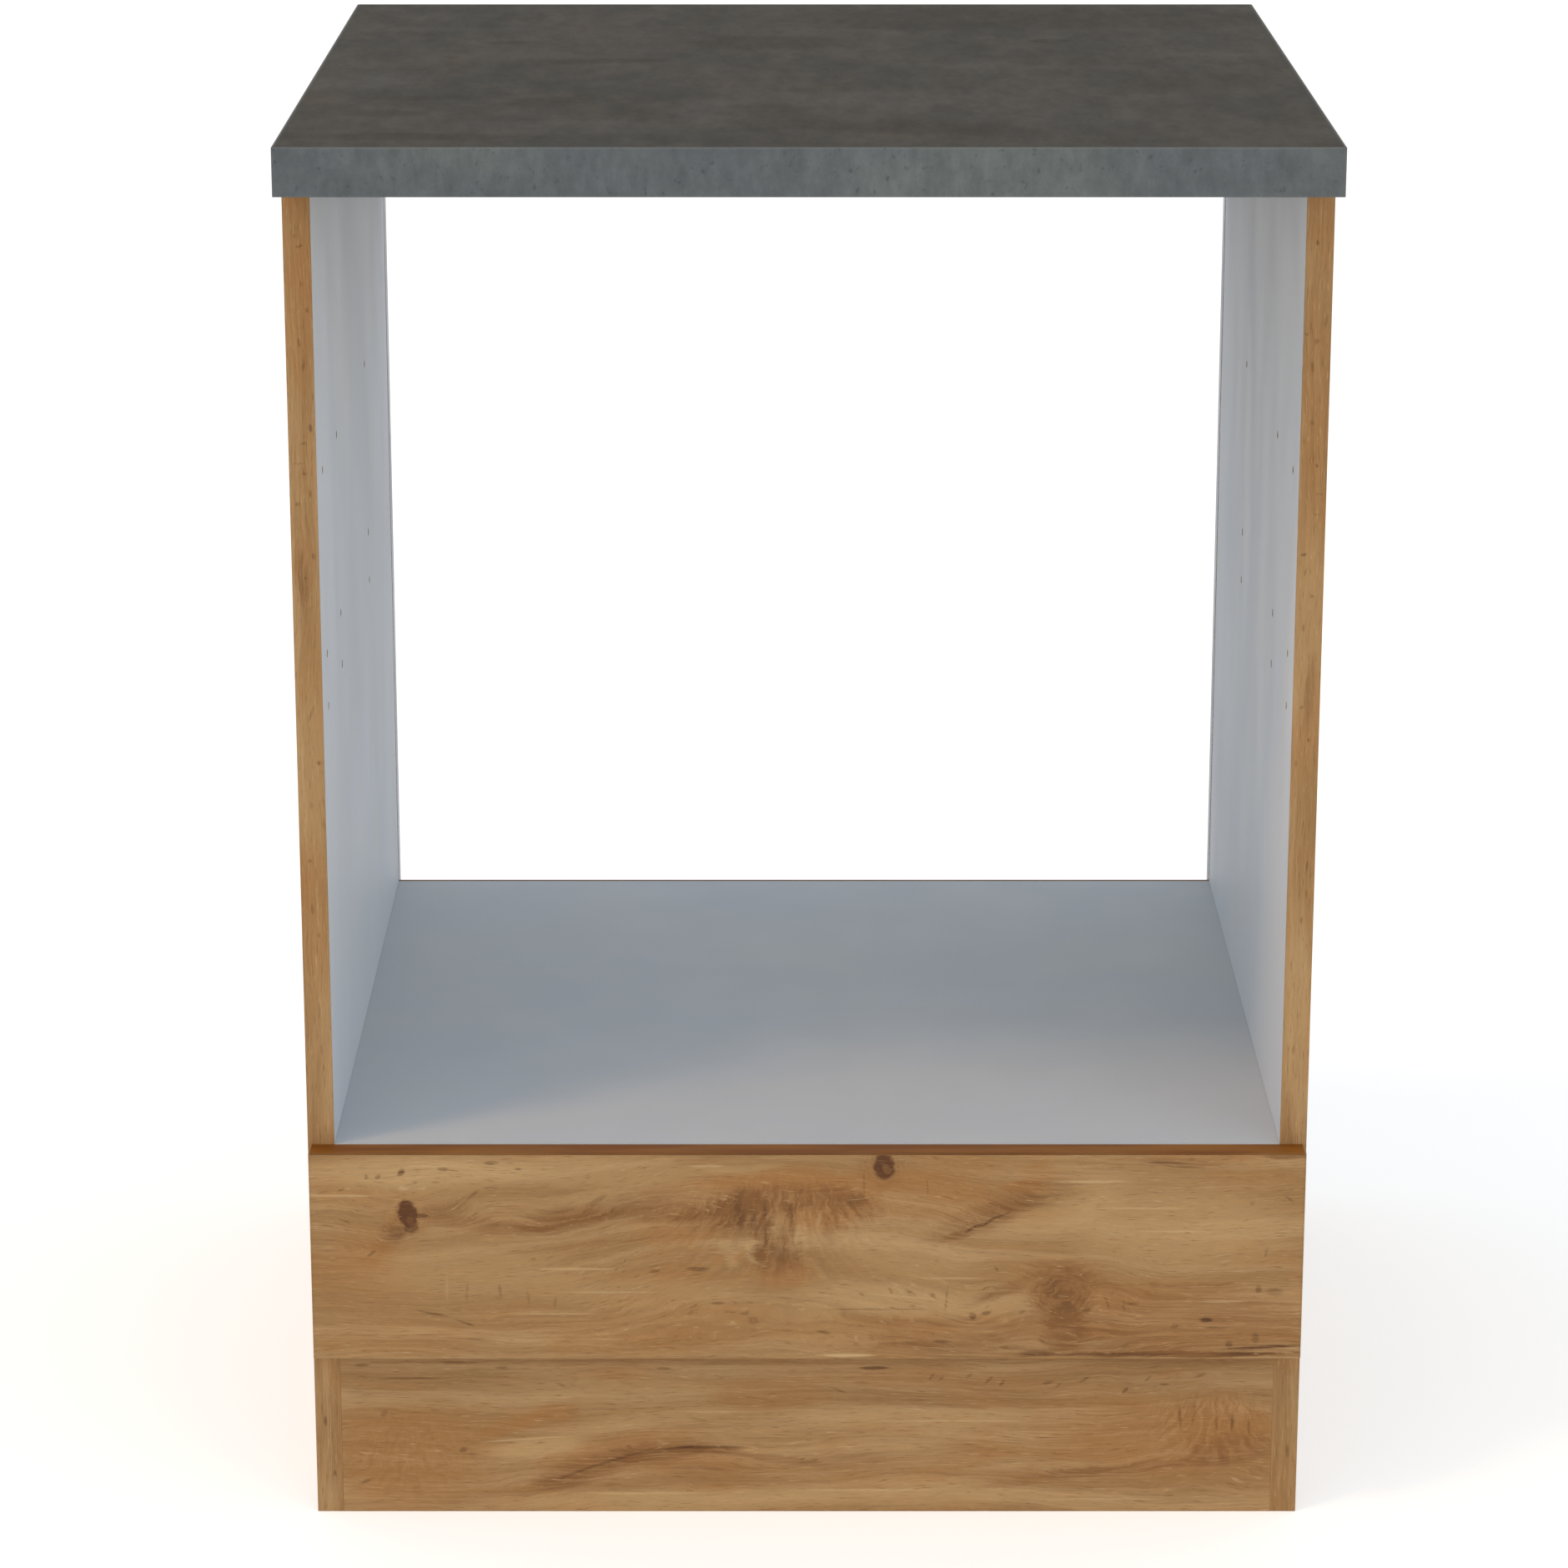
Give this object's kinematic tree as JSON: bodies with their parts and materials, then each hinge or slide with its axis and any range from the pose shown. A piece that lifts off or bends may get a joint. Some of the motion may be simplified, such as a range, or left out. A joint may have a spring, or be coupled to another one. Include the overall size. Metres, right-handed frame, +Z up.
{
  "type": "oven base cabinet",
  "caption": "Kitchen base cabinet with an open niche for a built-in oven, a shallow handleless drawer below it, a plinth and a square-edged worktop.",
  "frame": {"origin": "on the floor, under the middle of the worktop", "axes": "+Z up, +Y to the wall behind, the front looks along -Y, +X to the right as seen from the front"},
  "size_m": [0.6, 0.6, 0.85],
  "materials": {
    "oak_decor": "wood-grain decor, matt with fine pores",
    "oak_band_dark": "dark brown wood-grain edge band",
    "melamine": "light grey melamine-faced chipboard, satin",
    "melamine_band": "light grey edge band",
    "concrete_decor": "laminate-faced chipboard with a warm grey concrete-like decor, matt",
    "concrete_band": "bluish grey edge band with a concrete-like decor",
    "hardboard": "hardboard, smooth face",
    "beech": "fluted beech dowel",
    "zinc": "zinc-plated steel",
    "coated_steel": "white epoxy-coated sheet steel",
    "nylon": "natural white nylon"
  },
  "bodies": {
    "carcass": {"side_panel_left": "melamine", "side_panel_right": "melamine", "side_edge_band_left": "oak_decor", "side_edge_band_right": "oak_decor", "oven_shelf": "melamine", "shelf_edge_band": "melamine_band", "bottom_panel": "melamine", "bottom_edge_band": "oak_decor", "plinth_panel": "oak_decor", "rear_rail": "melamine", "back_panel": "hardboard", "back_panel_screws": "zinc", "worktop": "concrete_decor", "worktop_front_edge": "concrete_band", "worktop_edge_left": "concrete_band", "worktop_edge_right": "concrete_band", "worktop_brackets": "zinc", "bracket_screws": "zinc", "cam_housings": "zinc", "connecting_bolts": "zinc", "wooden_dowels": "beech", "cabinet_rail_left": "coated_steel", "cabinet_rail_right": "coated_steel", "cabinet_rail_screws": "zinc", "cabinet_roller_pins": "zinc"},
    "drawer": {"drawer_front": "oak_decor", "front_top_edge_band": "oak_band_dark", "front_bottom_edge_band": "oak_decor", "front_end_edge_bands": "oak_decor", "drawer_inner_front": "melamine", "drawer_side_left": "melamine", "drawer_side_right": "melamine", "drawer_back": "melamine", "drawer_bottom": "hardboard", "drawer_front_screws": "zinc", "drawer_box_screws": "zinc", "drawer_bottom_screws": "zinc", "drawer_rail_left": "coated_steel", "drawer_rail_right": "coated_steel", "drawer_rail_screws": "zinc", "drawer_roller_pins": "zinc"},
    "cabinet_roller_left": {"cabinet_roller_left": "nylon"},
    "cabinet_roller_right": {"cabinet_roller_right": "nylon"},
    "drawer_roller_left": {"drawer_roller_left": "nylon"},
    "drawer_roller_right": {"drawer_roller_right": "nylon"}
  },
  "joints": [
    {"name": "drawer_slide", "type": "slide", "parent": "carcass", "child": "drawer", "axis": [0, -1, 0], "range_m": [0, 0.38]},
    {"name": "cabinet_roller_left_turn", "type": "hinge", "parent": "carcass", "child": "cabinet_roller_left", "pos_m": [-0.2776, -0.234, 0.1411], "axis": [1, 0, 0], "range_deg": [0, 2425]},
    {"name": "cabinet_roller_right_turn", "type": "hinge", "parent": "carcass", "child": "cabinet_roller_right", "pos_m": [0.2776, -0.234, 0.1411], "axis": [1, 0, 0], "range_deg": [0, 2425]},
    {"name": "drawer_roller_left_turn", "type": "hinge", "parent": "drawer", "child": "drawer_roller_left", "pos_m": [-0.2776, 0.2395, 0.1393], "axis": [1, 0, 0], "range_deg": [0, 2425]},
    {"name": "drawer_roller_right_turn", "type": "hinge", "parent": "drawer", "child": "drawer_roller_right", "pos_m": [0.2776, 0.2395, 0.1393], "axis": [1, 0, 0], "range_deg": [0, 2425]}
  ],
  "couplings": [
    {"joint": "cabinet_roller_left_turn", "follows": "drawer_slide", "rad_per_m": 111.11},
    {"joint": "cabinet_roller_right_turn", "follows": "drawer_slide", "rad_per_m": 111.11},
    {"joint": "drawer_roller_left_turn", "follows": "drawer_slide", "rad_per_m": 111.11},
    {"joint": "drawer_roller_right_turn", "follows": "drawer_slide", "rad_per_m": 111.11}
  ]
}
